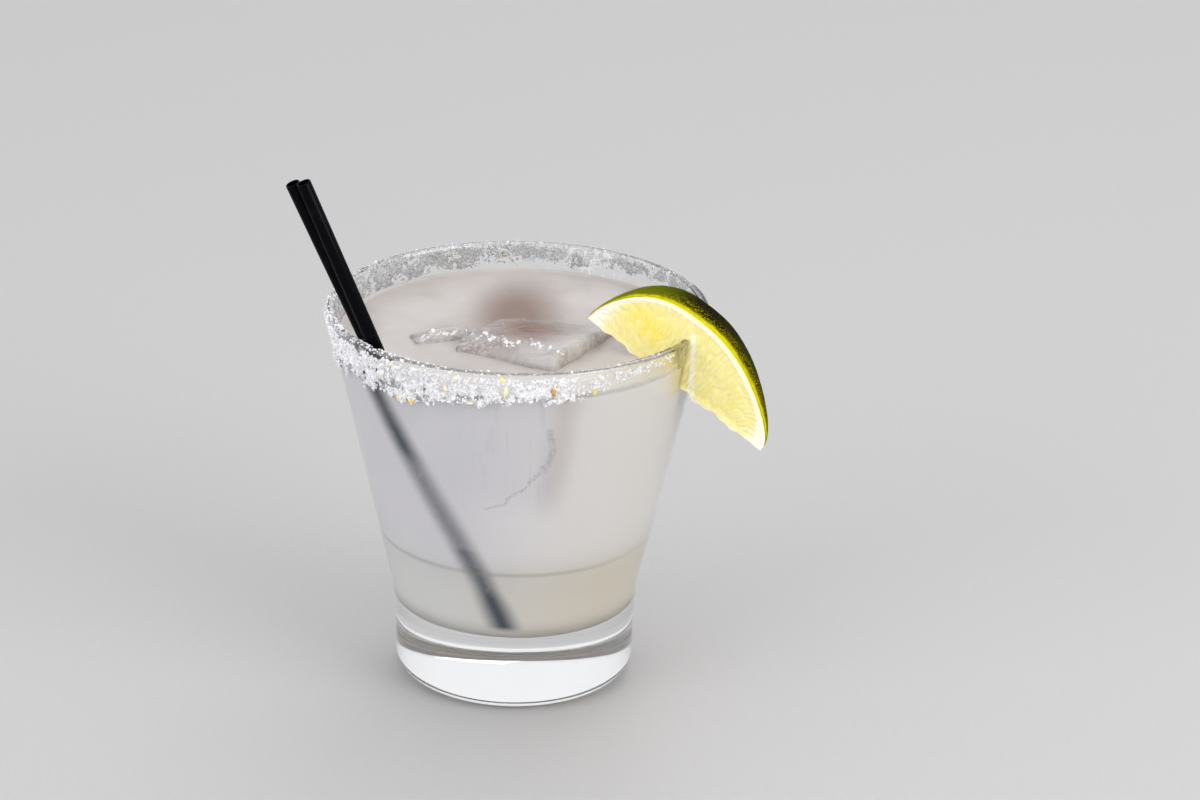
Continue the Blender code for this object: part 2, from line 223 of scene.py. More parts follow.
class Finish:
    """One material being made: its nodes, its surface shader and the place on the piece."""

    def __init__(self, name, **constants):
        self.material = bpy.data.materials.new(name)
        self.material.use_nodes = True
        self.nodes = self.material.node_tree.nodes
        self.shader = self.nodes["Principled BSDF"]
        self.set(self.shader, constants)
        self.place = Wire(self, self.node("ShaderNodeTexCoord").outputs["Object"])

    def set(self, node, sockets):
        """Sets or links a node's sockets; a name's underscores stand for spaces."""
        for name, value in sockets.items():
            key = name if isinstance(name, int) else name.replace("_", " ")
            if isinstance(value, Wire):
                self.material.node_tree.links.new(value.socket, node.inputs[key])
            elif node.inputs[key].type == "RGBA":
                node.inputs[key].default_value = (*value[:3], 1.0)
            else:
                node.inputs[key].default_value = value

    def node(self, kind, settings=None, sockets=None):
        """Any node: its settings are set first, then its sockets' values or links."""
        made = self.nodes.new(kind)
        for name, value in (settings or {}).items():
            setattr(made, name, value)
        self.set(made, sockets or {})
        return made

    def maths(self, operation, *values):
        made = self.node("ShaderNodeMath", {"operation": operation}, dict(enumerate(values)))
        return Wire(self, made.outputs[0])

    def vectors(self, operation, *values):
        made = self.node("ShaderNodeVectorMath", {"operation": operation}, dict(enumerate(values)))
        number = operation in ("DOT_PRODUCT", "LENGTH")
        return Wire(self, made.outputs["Value" if number else "Vector"])

    def split(self, vector):
        made = self.node("ShaderNodeSeparateXYZ", None, {0: vector})
        return [Wire(self, socket) for socket in made.outputs]

    def join(self, x, y, z):
        return Wire(self, self.node("ShaderNodeCombineXYZ", None, {0: x, 1: y, 2: z}).outputs[0])

    def fade(self, value, low, high, start=0.0, end=1.0):
        """A smooth step from start at low to end at high."""
        made = self.node("ShaderNodeMapRange", {"interpolation_type": "SMOOTHSTEP"},
                         {0: value, 1: low, 2: high, 3: start, 4: end})
        return Wire(self, made.outputs[0])

    def cloud(self, scale, detail=3.0, roughness=0.5, place=None, warp=0.0):
        made = self.node("ShaderNodeTexNoise", None, {
            "Vector": place or self.place, "Scale": scale, "Detail": detail,
            "Roughness": roughness, "Distortion": warp})
        return Wire(self, made.outputs[0])

    def cells(self, scale, feature="F1"):
        made = self.node("ShaderNodeTexVoronoi", {"feature": feature},
                         {"Vector": self.place, "Scale": scale})
        return Wire(self, made.outputs["Distance"])

    def attribute(self, name):
        made = self.node("ShaderNodeAttribute", {"attribute_name": name})
        return Wire(self, made.outputs["Fac"])

    def blend(self, share, first, second):
        """A colour between two colours."""
        made = self.node("ShaderNodeMix", {"data_type": "RGBA"}, {0: share, 6: first, 7: second})
        return Wire(self, made.outputs[2])

    def bump(self, height, distance, strength=1.0):
        made = self.node("ShaderNodeBump", None,
                         {"Height": height, "Distance": distance, "Strength": strength})
        return Wire(self, made.outputs[0])

    def wear(self, **sockets):
        """Sets the surface shader's sockets and gives the material."""
        self.set(self.shader, sockets)
        return self.material


def linked(name, data):
    """A new object of the scene that shows the given data."""
    made = bpy.data.objects.new(name, data)
    bpy.context.scene.collection.objects.link(made)
    return made


def finished(bm, name, material):
    """Makes a smooth-shaded object of a bmesh, in place, and frees the bmesh."""
    mesh = bpy.data.meshes.new(name)
    bm.to_mesh(mesh)
    bm.free()
    if material is not None:
        mesh.materials.append(material)
    mesh.shade_smooth()
    return linked(name, mesh)


def keep_values(mesh, name, values):
    """Stores one number for each vertex, which a material reads as an attribute."""
    layer = mesh.attributes.new(name, "FLOAT", "POINT")
    layer.data.foreach_set("value", values.astype(np.float32))


def stands_for(piece, node):
    """Ties a piece to the model: the body it rides on and the node it replaces."""
    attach(piece, "root")
    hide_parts(node)


def carve(target, cutter):
    """Cuts one piece out of another for good and removes the cutter."""
    cut = target.modifiers.new("cut", "BOOLEAN")
    cut.object = cutter
    cut.operation = "DIFFERENCE"
    cut.solver = "EXACT"
    graph = bpy.context.evaluated_depsgraph_get()
    carved = bpy.data.meshes.new_from_object(target.evaluated_get(graph))
    target.modifiers.clear()
    target.data = carved
    bpy.data.objects.remove(cutter, do_unlink=True)


def arc(middle, radius, start, end, steps):
    """Points of (radius, height) along an arc, both angles in degrees."""
    points = []
    for i in range(steps + 1):
        angle = math.radians(start + (end - start) * i / steps)
        points.append((middle[0] + radius * math.cos(angle), middle[1] + radius * math.sin(angle)))
    return points


def outer_radius(height):
    slope = (RIM_RADIUS - KNEE_RADIUS) / (GLASS_HEIGHT - KNEE_HEIGHT)
    return KNEE_RADIUS + slope * (height - KNEE_HEIGHT)


def inner_radius(height):
    top = RIM_RADIUS - LIP_THICKNESS
    slope = (top - SHOULDER_RADIUS) / (GLASS_HEIGHT - SHOULDER_HEIGHT)
    return SHOULDER_RADIUS + slope * (height - SHOULDER_HEIGHT)


def bowl_profile(top_height, grow=0.0):
    """The bowl's wall from the top down to the middle of its floor, pushed out by grow."""
    floor = BOWL_FLOOR_HEIGHT - grow
    foot_middle = (BOWL_FLOOR_RADIUS + grow - BOWL_ROUNDING, floor + BOWL_ROUNDING)
    points = [(inner_radius(top_height) + grow, top_height)]
    for share in (0.25, 0.5, 0.75, 0.93):
        height = top_height + (SHOULDER_HEIGHT - top_height) * share
        points.append((inner_radius(height) + grow, height))
    points.append((SHOULDER_RADIUS + grow, SHOULDER_HEIGHT))
    points.append((SHOULDER_RADIUS - SHOULDER_STEP + grow, SHOULDER_HEIGHT - SHOULDER_STEP))
    points += arc(foot_middle, BOWL_ROUNDING, 0, -90, 10)
    points.append((0.0, floor))
    return points


def turned(points, steps=TURN_STEPS, closed=False):
    """A bmesh of a line of (radius, height) points spun round Z; a closed line makes a ring."""
    bm = bmesh.new()
    verts = [bm.verts.new((r, 0.0, z)) for r, z in points]
    nexts = verts[1:] + verts[:1] if closed else verts[1:]
    edges = [bm.edges.new(pair) for pair in zip(verts, nexts)]
    bmesh.ops.spin(bm, geom=verts + edges, cent=(0, 0, 0), axis=(0, 0, 1), angle=2 * math.pi,
                   steps=steps, use_merge=True)
    bmesh.ops.remove_doubles(bm, verts=bm.verts, dist=MERGE)
    bmesh.ops.recalc_face_normals(bm, faces=bm.faces)
    return bm


def clear_glass_finish():
    """Clear glass with faint waves from pressing and a few dull wipe marks."""
    finish = Finish("clear_glass", Transmission_Weight=1.0, IOR=1.5, Base_Color=(0.99, 0.997, 0.993))
    waves = finish.cloud(55.0, 2.0)
    wiped = finish.fade(finish.cloud(90.0, 4.0, 0.6), 0.55, 0.75)
    return finish.wear(Roughness=wiped * 0.03, Normal=finish.bump(waves, 0.0002, 0.35))


def rocks_glass():
    lip = LIP_THICKNESS / 2
    lip_height = GLASS_HEIGHT - lip
    lip_middle = (outer_radius(lip_height) - lip, lip_height)
    foot_middle = (FOOT_RADIUS - FOOT_ROUNDING, FOOT_ROUNDING)
    profile = list(reversed(bowl_profile(lip_height)))
    profile += arc(lip_middle, lip, 180, 0, 10)[1:]
    for share in (0.25, 0.5, 0.75):
        height = lip_height + (KNEE_HEIGHT - lip_height) * share
        profile.append((outer_radius(height), height))
    profile += KNEE
    profile += arc(foot_middle, FOOT_ROUNDING, 0, -90, 12)
    profile += [(FOOT_RADIUS * 0.5, 0.0), (0.0, 0.0)]
    glass = finished(turned(profile), "rocks_glass", clear_glass_finish())
    stands_for(glass, "glass")


def straw_band(finish, place, radius_out):
    """How much of the sunk straws shows through the cloudy drink at a point of the bowl's wall."""
    x, y, z = finish.split(place)
    outward = finish.join(x / radius_out, y / radius_out, 0.0)
    direction = (BAND_THROUGH - BAND_START).normalized()
    across = finish.vectors("CROSS_PRODUCT", tuple(direction), outward)
    aside = finish.vectors("DOT_PRODUCT", finish.vectors("SUBTRACT", place, tuple(BAND_START)), across)
    lateral = abs(aside / finish.vectors("LENGTH", across))
    middle = Vector((*(BAND_START + BAND_THROUGH).xy, 0.0)).normalized()
    near_side = finish.fade(finish.vectors("DOT_PRODUCT", outward, tuple(middle)), 0.45, 0.7)
    above_end = finish.fade(z, BAND_START.z + 0.0006, BAND_START.z + 0.0026)
    width = finish.fade(z, 0.034, 0.024, BAND_HALF_WIDTH, BAND_END_WIDTH)
    return finish.fade(lateral / width, 0.0, 1.0, 1.0, 0.0) * near_side * above_end


def near_line(finish, x, z, start, end, width):
    """How near a point of the wall is to the line between two points of (x, height), from 0 to 1."""
    reach = Vector(end) - Vector(start)
    length = reach.length
    unit = reach / length
    walked = (x - start[0]) * unit.x + (z - start[1]) * unit.y
    aside = abs((x - start[0]) * unit.y - (z - start[1]) * unit.x)
    inside = finish.fade(abs(walked - length / 2), length / 2, length / 2 + width)
    return finish.fade(aside, width * 0.3, width, 1.0, 0.0) * (1 - inside)


# The crack in the ice as it shows on the drink's wall: x, height and half width
CRACK_ROUTE = ((0.0075, 0.0769, 0.0010), (0.0081, 0.0707, 0.0013), (0.0062, 0.0666, 0.0008),
               (0.0034, 0.0638, 0.0006), (0.0016, 0.0609, 0.0005), (-0.0008, 0.0597, 0.0005),
               (-0.0029, 0.0568, 0.0005), (-0.0070, 0.0556, 0.0004))


def crack_shade(finish, x, z):
    """How much the crack darkens a point of the wall: a ragged line, broken along its way."""
    near = 0.0
    wobble = (finish.cloud(600.0, 4.0, 0.6) - 0.5) * 0.0022
    for start, end in zip(CRACK_ROUTE, CRACK_ROUTE[1:]):
        near = near + near_line(finish, x + wobble, z, start[:2], end[:2], start[2])
    broken = finish.fade(finish.cloud(950.0, 3.0, 0.65), 0.40, 0.62, 0.10, 0.42)
    return finish.maths("MINIMUM", near, 1.0) * broken


def straw_shade(finish, z):
    """How dark the straws' band is at a height: patchy, darker above, at its knot and at its tip."""
    depth = finish.fade(z, 0.0630, 0.0680, 0.66, 0.94) + finish.fade(z, 0.078, 0.083, 0.0, 0.10)
    knot = finish.fade(z, 0.0440, 0.0425, 0.0, 0.16)
    tip = finish.fade(z, 0.0345, 0.0240, 0.0, 0.36)
    nicks = finish.fade(finish.cloud(560.0, 3.0, 0.65), 0.56, 0.66)
    patchy = 0.92 + 0.20 * finish.cloud(170.0, 2.0) - 0.09 * nicks
    return finish.maths("MINIMUM", (depth + knot + tip) * patchy, 0.97)


def cloudy_drink_finish():
    """Cloudy lime and spirit: cool over the ice, lighter and warmer at the right as painted light,
    painted shade beside the ice, along the shoulder and over the top, a painted reflection behind the
    ice, and the straws showing dimly.
    """
    finish = Finish("cloudy_drink", Roughness=0.22, IOR=1.34, Subsurface_Weight=0.25,
                    Subsurface_Radius=(1.0, 0.95, 0.9), Subsurface_Scale=0.002)
    x, y, z = finish.split(finish.place)
    around = (x * x + y * y) ** 0.5
    wall = SHOULDER_RADIUS + (z - SHOULDER_HEIGHT) * (
        (RIM_RADIUS - LIP_THICKNESS - SHOULDER_RADIUS) / (GLASS_HEIGHT - SHOULDER_HEIGHT))
    on_wall = finish.fade(around - wall, -0.0030, -0.0015)
    on_top = finish.fade(z, DRINK_LEVEL - 0.0008, DRINK_LEVEL - 0.0003)
    drift = finish.cloud(38.0, 3.0, 0.55)
    fine = finish.cloud(190.0, 3.0, 0.6)

    # Painted light: the body is lighter and warmer towards the right, where the big light falls, and
    # cooler at the left.
    body = finish.blend(finish.fade(x, -0.020, 0.030), (0.88, 0.86, 0.885), (0.93, 0.905, 0.88))
    low = finish.fade(z, 0.030, 0.046, 1.0, 0.0)
    below = finish.blend(finish.fade(x, -0.020, 0.022), (0.90, 0.895, 0.865), (0.83, 0.765, 0.645))
    body = finish.blend(low * 0.85, body, below)
    floor_shade = finish.fade(z, 0.019, 0.0245, 0.35, 0.0)
    body = finish.blend(floor_shade, body, (0.42, 0.37, 0.31))

    front = finish.fade(y, -0.020, -0.028)
    # Painted shadow: a darker brownish strip on the wall beside the ice's front edge.
    ice_edge_shadow = finish.fade(abs(x - 0.0096 - (z - 0.0745) * 0.13), 0.0, 0.0054, 1.0, 0.0)
    ice_height = finish.fade(z, 0.050, 0.064) * front * on_wall
    body = finish.blend(ice_edge_shadow * ice_height * 0.32, body, (0.46, 0.37, 0.33))
    over_ice = finish.fade(x, 0.0085, 0.0060) * finish.fade(x, -0.024, -0.010) * ice_height
    body = finish.blend(over_ice * 0.22, body, (0.62, 0.63, 0.70))

    body = finish.blend(crack_shade(finish, x, z) * front * on_wall, body, (0.34, 0.33, 0.40))
    lines = finish.cloud(1.0, 3.0, 0.6, finish.join(x * 700.0, y * 60.0, z * 70.0))
    scratches = finish.fade(lines, 0.56, 0.70)
    body = finish.blend(scratches * over_ice * 0.13, body, (0.40, 0.41, 0.50))

    band = straw_band(finish, finish.place, around) * straw_shade(finish, z)
    body = finish.blend(band * on_wall, body, (0.046, 0.060, 0.090))

    # Painted shade: a thin dark line where the glass steps in at its shoulder, fading out to the right.
    shoulder = finish.fade(abs(z - SHOULDER_HEIGHT + 0.0003), 0.0002, 0.0009, 0.30, 0.0)
    shoulder = shoulder * finish.fade(x, 0.028, 0.010, 0.35, 1.0)
    body = finish.blend(shoulder * on_wall, body, (0.36, 0.35, 0.27))

    # The top is painted far darker than the side: painted shade that offsets the stronger light falling
    # on it from above.
    top = finish.blend(finish.fade(drift, 0.35, 0.65), (0.44, 0.400, 0.378), (0.53, 0.488, 0.465))
    # Painted reflection: a brown patch on the top behind the ice, as if a dark surrounding were
    # mirrored there.
    behind = (((x + 0.0004) / 0.0122) ** 2 + ((y - 0.011) / 0.026) ** 2) ** 0.5
    top = finish.blend(finish.fade(behind, 0.2, 1.25, 0.95, 0.0), top, (0.19, 0.118, 0.083))
    through_wall = finish.fade(around, 0.027, 0.035) * finish.fade(y, -0.006, -0.022)
    top = finish.blend(through_wall * 0.85, top, (0.74, 0.70, 0.67))
    inside = finish.blend(fine, (0.80, 0.77, 0.76), (0.90, 0.88, 0.87))
    from_lime = finish.vectors("SUBTRACT", finish.place, tuple(LIME_MIDDLE))
    lime_up = finish.vectors("DOT_PRODUCT", from_lime, tuple(LIME_FACE_UP))
    lime_side = finish.vectors("DOT_PRODUCT", from_lime, tuple(LIME_FACE_BACK))
    under_back = 0.0 - lime_side - lime_up * math.tan(LIME_SLICE)
    near_lime = finish.fade(lime_side, 0.0064, 0.0008) * finish.fade(lime_up, -0.0022, 0.0012)
    near_lime = near_lime * finish.fade(finish.vectors("LENGTH", from_lime), 0.0190, 0.0150)
    near_lime = near_lime * finish.fade(under_back, 0.0, 0.0025, 1.0, 0.0)
    body = finish.blend(near_lime * 0.92, body, (0.92, 0.83, 0.46))
    lit_by_lime = finish.fade(lime_side, 0.0060, 0.0004) * finish.fade(around, 0.030, 0.036)
    top = finish.blend(lit_by_lime * finish.fade(y, -0.010, -0.018) * 0.75, top, (0.90, 0.80, 0.44))
    colour = finish.blend(on_wall, inside, body)
    colour = finish.blend(on_top, colour, top)
    colour = finish.blend(finish.fade(fine, 0.62, 0.80, 0.0, 0.10), colour, (0.85, 0.86, 0.88))
    return finish.wear(Base_Color=colour, Normal=finish.bump(drift, 0.0004, 0.35))


def drink_body(cutters):
    """The drink up to its level, just into the wall, its edge drawn up where it wets the glass."""
    level = DRINK_LEVEL - UNDER_LEVEL
    wall = inner_radius(level) + INTO_WALL
    profile = [(wall * step / TOP_RINGS, level) for step in range(TOP_RINGS)]
    last = profile[-1][0]
    for step in range(1, MENISCUS_RINGS + 1):
        near = 1 - (1 - step / MENISCUS_RINGS) ** 2
        out = last + (wall - last) * near
        profile.append((out, level + MENISCUS_HEIGHT * math.exp(-(wall - out) / MENISCUS_WIDTH)))
    profile += bowl_profile(level, INTO_WALL)[1:]
    drink = finished(turned(profile), "cloudy_drink", cloudy_drink_finish())
    for cutter in cutters:
        carve(drink, cutter)
    mesh = drink.data
    straws = [start + (through - start) * ((level - start.z) / (through.z - start.z))
              for start, through in STRAWS.values()]
    for vert in mesh.vertices:
        if abs(vert.co.z - level) < 0.0003 and vert.co.xy.length < wall - 0.002:
            ripple = noise.noise(vert.co * 90) * RIPPLE_HEIGHT
            near = max(0.0, min((vert.co.xy - place.xy).length for place in straws) - STRAW_RADIUS)
            vert.co.z += ripple + STRAW_MENISCUS_HEIGHT * math.exp(-near / STRAW_MENISCUS_WIDTH)
    mesh.shade_smooth()
    mesh.set_sharp_from_angle(angle=math.radians(38))
    stands_for(drink, "drink")


def ice_finish():
    """Clear wet ice: ridged on top, browner in its middle as a painted reflection, white where an edge
    broke, partly crushed ice and partly painted glints.
    """
    finish = Finish("clear_ice", Transmission_Weight=0.58, IOR=1.31)
    x, y, z = finish.split(finish.place)
    crest = finish.attribute("crest")
    rim = finish.attribute("rim")
    # White along the broken crest: partly crushed ice, partly painted glints scattered as specks.
    glints = finish.fade(finish.cloud(900.0, 4.0, 0.7), 0.51, 0.57)
    dust = finish.cloud(900.0, 3.0, 0.65)
    crushed_white_and_glints = finish.fade(crest, 0.20, 0.80) * glints
    veins = finish.cells(150.0, feature="DISTANCE_TO_EDGE")
    cracked = finish.fade(veins, 0.025, 0.0) * finish.fade(finish.cloud(90.0, 2.0), 0.52, 0.64)
    white = finish.maths("MINIMUM", crushed_white_and_glints * 0.95 + cracked * 0.18, 1.0)

    # Painted reflection: the middle of the ice is tinted brown, as if it mirrored a dark surrounding.
    heart = (((x - 0.0028) / 0.0145) ** 2 + ((y + 0.0036) / 0.0150) ** 2) ** 0.5
    ridges = finish.cloud(1.0, 4.0, 0.6, finish.join(x * 90.0, y * 330.0, z * 200.0), 0.5)
    tint = finish.blend(finish.fade(heart, 0.15, 1.20, 0.95, 0.0), (0.97, 0.940, 0.915),
                        (0.31, 0.140, 0.070))
    tint = finish.blend(finish.fade(ridges, 0.50, 0.60, 0.0, 0.40), tint, (0.66, 0.57, 0.52))
    left_face = (((x + 0.0085) / 0.0085) ** 2 + ((y + 0.0105) / 0.0070) ** 2) ** 0.5
    mottled = finish.fade(left_face, 0.5, 1.2, 0.8, 0.0) * finish.fade(dust, 0.42, 0.58)
    tint = finish.blend(mottled, tint, (0.50, 0.41, 0.42))
    waterline = finish.fade(abs(z - DRINK_LEVEL - 0.0002), 0.0, 0.0011, 1.0, 0.0)
    tint = finish.blend(waterline * finish.fade(dust, 0.40, 0.60, 0.10, 0.60), tint, (0.55, 0.47, 0.46))
    tint = finish.blend(rim * finish.fade(dust, 0.35, 0.60, 0.0, 0.25), tint, (0.46, 0.35, 0.30))
    crush_and_glint_shader = finish.node("ShaderNodeBsdfPrincipled", None, {
        "Base Color": (0.92, 0.92, 0.95), "Roughness": 0.20, "IOR": 1.31})
    mix = finish.node("ShaderNodeMixShader", None, {
        0: white, 1: Wire(finish, finish.shader.outputs[0]), 2: Wire(finish, crush_and_glint_shader.outputs[0])})
    finish.set(finish.nodes["Material Output"], {"Surface": Wire(finish, mix.outputs[0])})
    return finish.wear(Base_Color=tint, Roughness=0.03 + 0.12 * finish.fade(dust, 0.5, 0.8),
                       Normal=finish.bump(ridges, 0.0011, 0.75))


def ice_form(name, size, middle, turn, tilt, grow, cell, chipped, material):
    """A block of ice with melted edges; one top edge is broken away below a craggy crest."""
    bm = bmesh.new()
    bmesh.ops.create_cube(bm, size=1.0)
    bmesh.ops.scale(bm, vec=size, verts=bm.verts)
    bmesh.ops.bevel(bm, geom=bm.edges[:], offset=ICE_ROUNDING, affect="EDGES", segments=3,
                    profile=0.5, material=-1, clamp_overlap=True)
    long_edges = [e for e in bm.edges if e.calc_length() > 0.004]
    bmesh.ops.subdivide_edges(bm, edges=long_edges, cuts=round(size.x / cell), use_grid_fill=True)
    bm.normal_update()
    crest_layer = bm.verts.layers.float.new("crest")
    rim_layer = bm.verts.layers.float.new("rim")
    for vert in bm.verts:
        place = vert.co.copy()
        crag = 0.6 * noise.noise(place * 170 + middle * 900) + 0.35 * noise.noise(place * 420)
        wave = noise.noise(Vector((place.x * 70, place.y * 210, place.z * 150)) + middle * 700)
        push = vert.normal * (ICE_CRAG * crag + ICE_WAVE * wave + grow)
        high = min(1.0, max(0.0, (place.z / size.z + 0.05) / 0.35))
        inward = -place.y - size.y / 2 + chipped
        edge = min(1.0, max(0.0, inward / chipped))
        sway = noise.noise(Vector((place.x * 240, 3.0, middle.x * 500)))
        off = inward - chipped * (0.15 + 0.35 * sway)
        top = min(1.0, max(0.0, (place.z / size.z - 0.38) / 0.08))
        leftward = max(0.0, -2 * place.x / size.x)
        crest = top * math.exp(-(off / ((0.13 + 0.14 * leftward) * chipped + 0.0002)) ** 2)
        shard = noise.noise(place * 760)
        pit = noise.voronoi(Vector((place.x * 330, place.y * 330, place.z * 200)))[0][0]
        fall = edge * (0.60 + 0.35 * sway) * chipped * 0.62
        melted = MELTED_DEPTH * min(1.0, max(0.0, place.y / size.y * 2 - 0.05)) ** 1.5
        raised = ICE_SHARD * (1 + leftward) * crest * abs(shard)
        push += Vector((0.0, 0.0, high * (raised - fall - melted)))
        push -= vert.normal * (ICE_PIT * pit * edge * high)
        border = min(size.x / 2 - abs(place.x), size.y / 2 - abs(place.y))
        vert[crest_layer] = crest
        vert[rim_layer] = high * (1 - edge) * min(1.0, max(0.0, 1.5 - border / ICE_RIM_WIDTH))
        vert.co += push
    placed = (Matrix.Translation(middle) @ Matrix.Rotation(turn, 4, "Z")
              @ Matrix.Rotation(tilt[0], 4, "X") @ Matrix.Rotation(tilt[1], 4, "Y"))
    bmesh.ops.transform(bm, matrix=placed, verts=bm.verts)
    return finished(bm, name, material)


def straw_finish():
    """Black extruded plastic: glossy, with faint lines along the tube and a few scuffs."""
    finish = Finish("black_plastic", IOR=1.45, Specular_IOR_Level=0.03, Coat_Roughness=0.08)
    direction = sum(((b - a).normalized() for a, b in STRAWS.values()), Vector()).normalized()
    lengthwise = finish.vectors("DOT_PRODUCT", finish.place, tuple(direction))
    flat = finish.vectors("SUBTRACT", finish.place,
                          finish.vectors("MULTIPLY", finish.join(lengthwise, lengthwise, lengthwise),
                                         tuple(direction * 0.98)))
    lines = finish.cloud(2600.0, 2.0, place=flat)
    scuffs = finish.fade(finish.cloud(300.0, 4.0, 0.65), 0.55, 0.75)
    tone = finish.blend(scuffs, (0.0015, 0.0015, 0.0025), (0.006, 0.006, 0.008))
    return finish.wear(Base_Color=tone, Roughness=0.20 + 0.16 * scuffs,
                       Coat_Weight=0.035 - 0.02 * scuffs, Normal=finish.bump(lines, 0.00002, 0.35))


def straw(name, start, through, material):
    """An open tube with softly rounded ends, spun about its own axis and laid along its line."""
    wall_middle = STRAW_RADIUS - STRAW_WALL / 2
    half = STRAW_WALL / 2
    loop = arc((wall_middle, half), half, 180, 360, 6)
    loop += [(STRAW_RADIUS, STRAW_LENGTH * share) for share in (0.25, 0.5, 0.75)]
    loop += arc((wall_middle, STRAW_LENGTH - half), half, 0, 180, 6)
    bm = turned(loop, steps=STRAW_STEPS, closed=True)
    direction = (through - start).normalized()
    laid = Matrix.Translation(start) @ direction.to_track_quat("Z", "Y").to_matrix().to_4x4()
    bmesh.ops.transform(bm, matrix=laid, verts=bm.verts)
    tube = finished(bm, name + "_tube", material)
    stands_for(tube, name)


def lime_outline(share):
    """Rind radius at a share of the half length: fullest towards the sharp inner end."""
    leaning = share + LIME_LEAN * (1 - share * share)
    body = max(0.0, 1.0 - abs(leaning) ** 2.4) ** 0.67
    blunt = LIME_BLUNT_END if share > 0 else LIME_SHARP_END
    blend = abs(share) ** 3
    return LIME_RADIUS * (body * (1.0 - blunt * blend) + blunt * blend)


def lime_place(co):
    """Share of the half length, distance from the core, and angle from the shown face."""
    from_middle = co - LIME_MIDDLE
    up = from_middle.dot(LIME_FACE_UP)
    back = from_middle.dot(LIME_FACE_BACK)
    return from_middle.dot(LIME_CORE) / LIME_HALF_LENGTH, math.hypot(up, back), math.atan2(-back, up)


def vesicles(points, seed):
    """Juice cells on a cut face: distance to the cell's edge and a tone, by numpy.

    points are (share, reach) pairs; the cells are long drops that fan out from the core.
    """
    draw = np.random.default_rng(seed)
    narrowing = 1.25 - 0.45 * points[:, 1]
    fan = np.column_stack([points[:, 0] * narrowing * VESICLES_ALONG, points[:, 1] * VESICLES_OUT])
    columns = np.arange(-26, 27)
    rows = np.arange(-1, 6)
    grid = np.array([(c + 0.5 * (r % 2), r * 0.8) for c in columns for r in rows], float)
    seeds = grid + draw.uniform(-0.36, 0.36, grid.shape)
    tones = draw.random(len(seeds))
    away = np.hypot(fan[:, None, 0] - seeds[None, :, 0], fan[:, None, 1] - seeds[None, :, 1])
    nearest = np.argsort(away, axis=1)[:, :2]
    rows_index = np.arange(len(fan))
    first = away[rows_index, nearest[:, 0]]
    second = away[rows_index, nearest[:, 1]]
    return second - first, tones[nearest[:, 0]]


